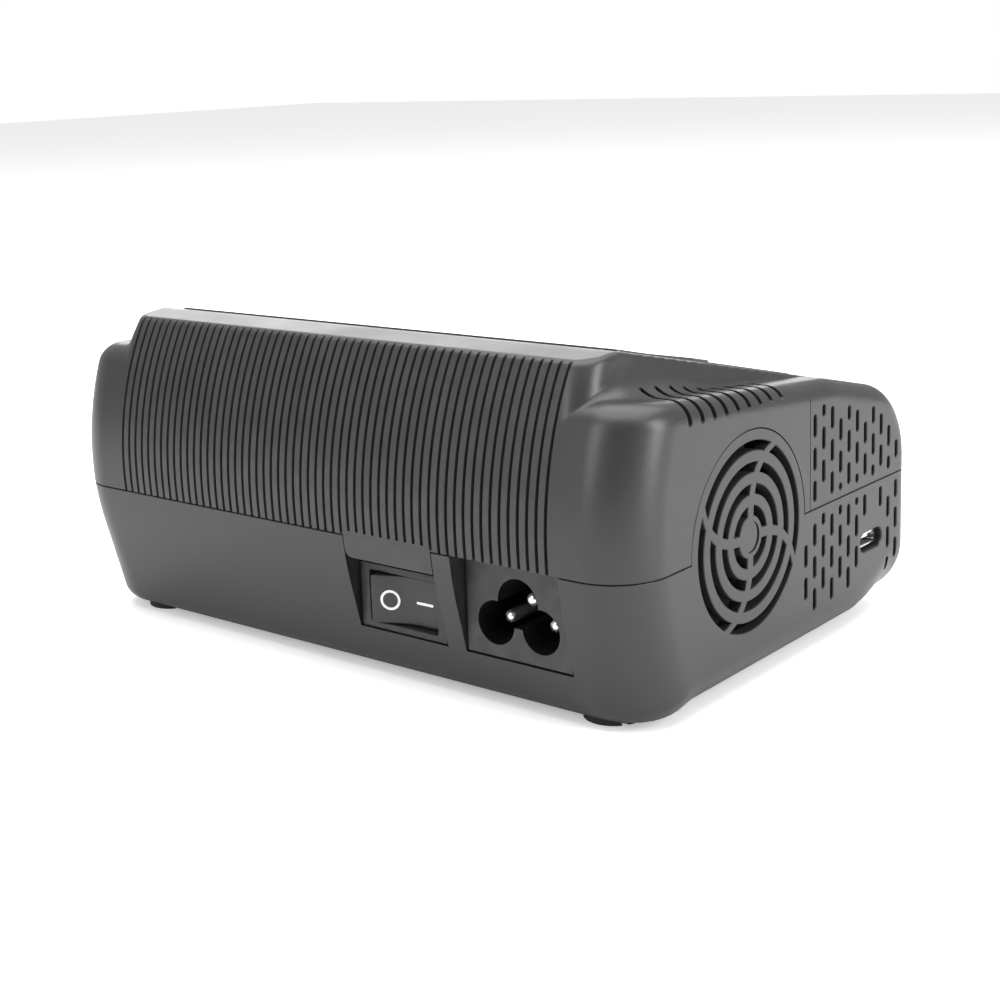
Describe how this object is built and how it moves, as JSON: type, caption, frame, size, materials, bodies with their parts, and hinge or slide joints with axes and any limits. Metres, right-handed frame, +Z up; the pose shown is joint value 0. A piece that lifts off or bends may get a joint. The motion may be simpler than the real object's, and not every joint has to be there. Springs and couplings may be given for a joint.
{
  "type": "balance battery charger",
  "caption": "Dark desktop battery charger with its own mains supply: grooved back with mains inlet and rocker switch, round side fan grille, sloped display and front sockets.",
  "frame": {"origin": "on the surface the feet stand on, under the middle of the case", "axes": "+X to the right of a person at the front, along the width; +Y towards the back with the mains inlet; +Z up"},
  "size_m": [0.1444, 0.1014, 0.0647],
  "materials": {
    "case_upper": "fine-textured dark grey moulded plastic",
    "case_lower": "fine-textured dark grey moulded plastic",
    "overlay_film": "smooth black printed film",
    "clear_window": "clear acrylic",
    "display_metal": "satin bezel around a grey-green panel",
    "board_green": "green solder mask",
    "board_tan": "plain board",
    "button_plastic": "satin grey moulded keys",
    "black_plastic": "black moulded plastic",
    "switch_plastic": "black, half gloss",
    "rocker_plastic": "black, half gloss, white marks",
    "plated_steel": "nickel plate",
    "pin_chrome": "bright nickel plate",
    "contact_gold": "gold flash on brass",
    "screw_steel": "zinc plate",
    "foot_rubber": "black ribbed rubber",
    "socket_red": "red nylon",
    "socket_white": "natural white nylon",
    "heat_sink": "extruded",
    "ferrite": "dark ferrite",
    "coil_tape": "yellow tape over copper",
    "capacitor_sleeve": "shrunk sleeve",
    "copper_winding": "enamelled copper",
    "chip_black": "moulded chip",
    "lead_brown": "insulated wire"
  },
  "bodies": {
    "case": {"upper_shell": "case_upper", "lower_shell": "case_lower", "top_overlay": "overlay_film", "display_window": "clear_window", "display_module": "display_metal", "display_board": "board_green", "key_switches": "black_plastic", "switch_housing": "switch_plastic", "switch_terminals": "contact_gold", "mains_inlet": "black_plastic", "inlet_pins": "pin_chrome", "fan_frame": "black_plastic", "fan_screws": "screw_steel", "main_board": "board_green", "control_chip": "chip_black", "buck_inductor": "ferrite", "main_heat_sink": "heat_sink", "usb_socket": "plated_steel", "usb_tongue": "plated_steel", "output_sockets": "socket_red", "output_contacts": "contact_gold", "balance_2s": "socket_white", "balance_3s": "socket_white", "balance_4s": "socket_white", "balance_5s": "socket_white", "balance_6s": "socket_white", "balance_pins": "plated_steel", "power_board": "board_tan", "transformer_core": "ferrite", "transformer_coil": "coil_tape", "bulk_capacitors": "capacitor_sleeve", "line_choke": "copper_winding", "supply_heat_sink": "heat_sink", "supply_transistors": "chip_black", "buzzer": "black_plastic", "mains_leads": "lead_brown", "rubber_feet": "foot_rubber", "case_screws": "screw_steel", "board_screws": "screw_steel"},
    "rocker": {"rocker": "rocker_plastic"},
    "fan_rotor": {"fan_rotor": "black_plastic"},
    "button_stop": {"button_stop": "button_plastic"},
    "button_down": {"button_down": "button_plastic"},
    "button_up": {"button_up": "button_plastic"},
    "button_start": {"button_start": "button_plastic"}
  },
  "joints": [
    {"name": "rocker_tilt", "type": "hinge", "parent": "case", "child": "rocker", "pos_m": [-0.0181, 0.0431, 0.0162], "axis": [0, 0, -1], "range_deg": [0, 24]},
    {"name": "fan_spin", "type": "hinge", "parent": "case", "child": "fan_rotor", "pos_m": [-0.0647, 0.01275, 0.0288], "axis": [-1, 0, 0], "continuous": true},
    {"name": "press_stop", "type": "slide", "parent": "case", "child": "button_stop", "axis": [0, 0.2311, -0.9729], "range_m": [0, 0.0005], "stiffness_N_per_m": 400},
    {"name": "press_down", "type": "slide", "parent": "case", "child": "button_down", "axis": [0, 0.2311, -0.9729], "range_m": [0, 0.0005], "stiffness_N_per_m": 400},
    {"name": "press_up", "type": "slide", "parent": "case", "child": "button_up", "axis": [0, 0.2311, -0.9729], "range_m": [0, 0.0005], "stiffness_N_per_m": 400},
    {"name": "press_start", "type": "slide", "parent": "case", "child": "button_start", "axis": [0, 0.2311, -0.9729], "range_m": [0, 0.0005], "stiffness_N_per_m": 400}
  ]
}
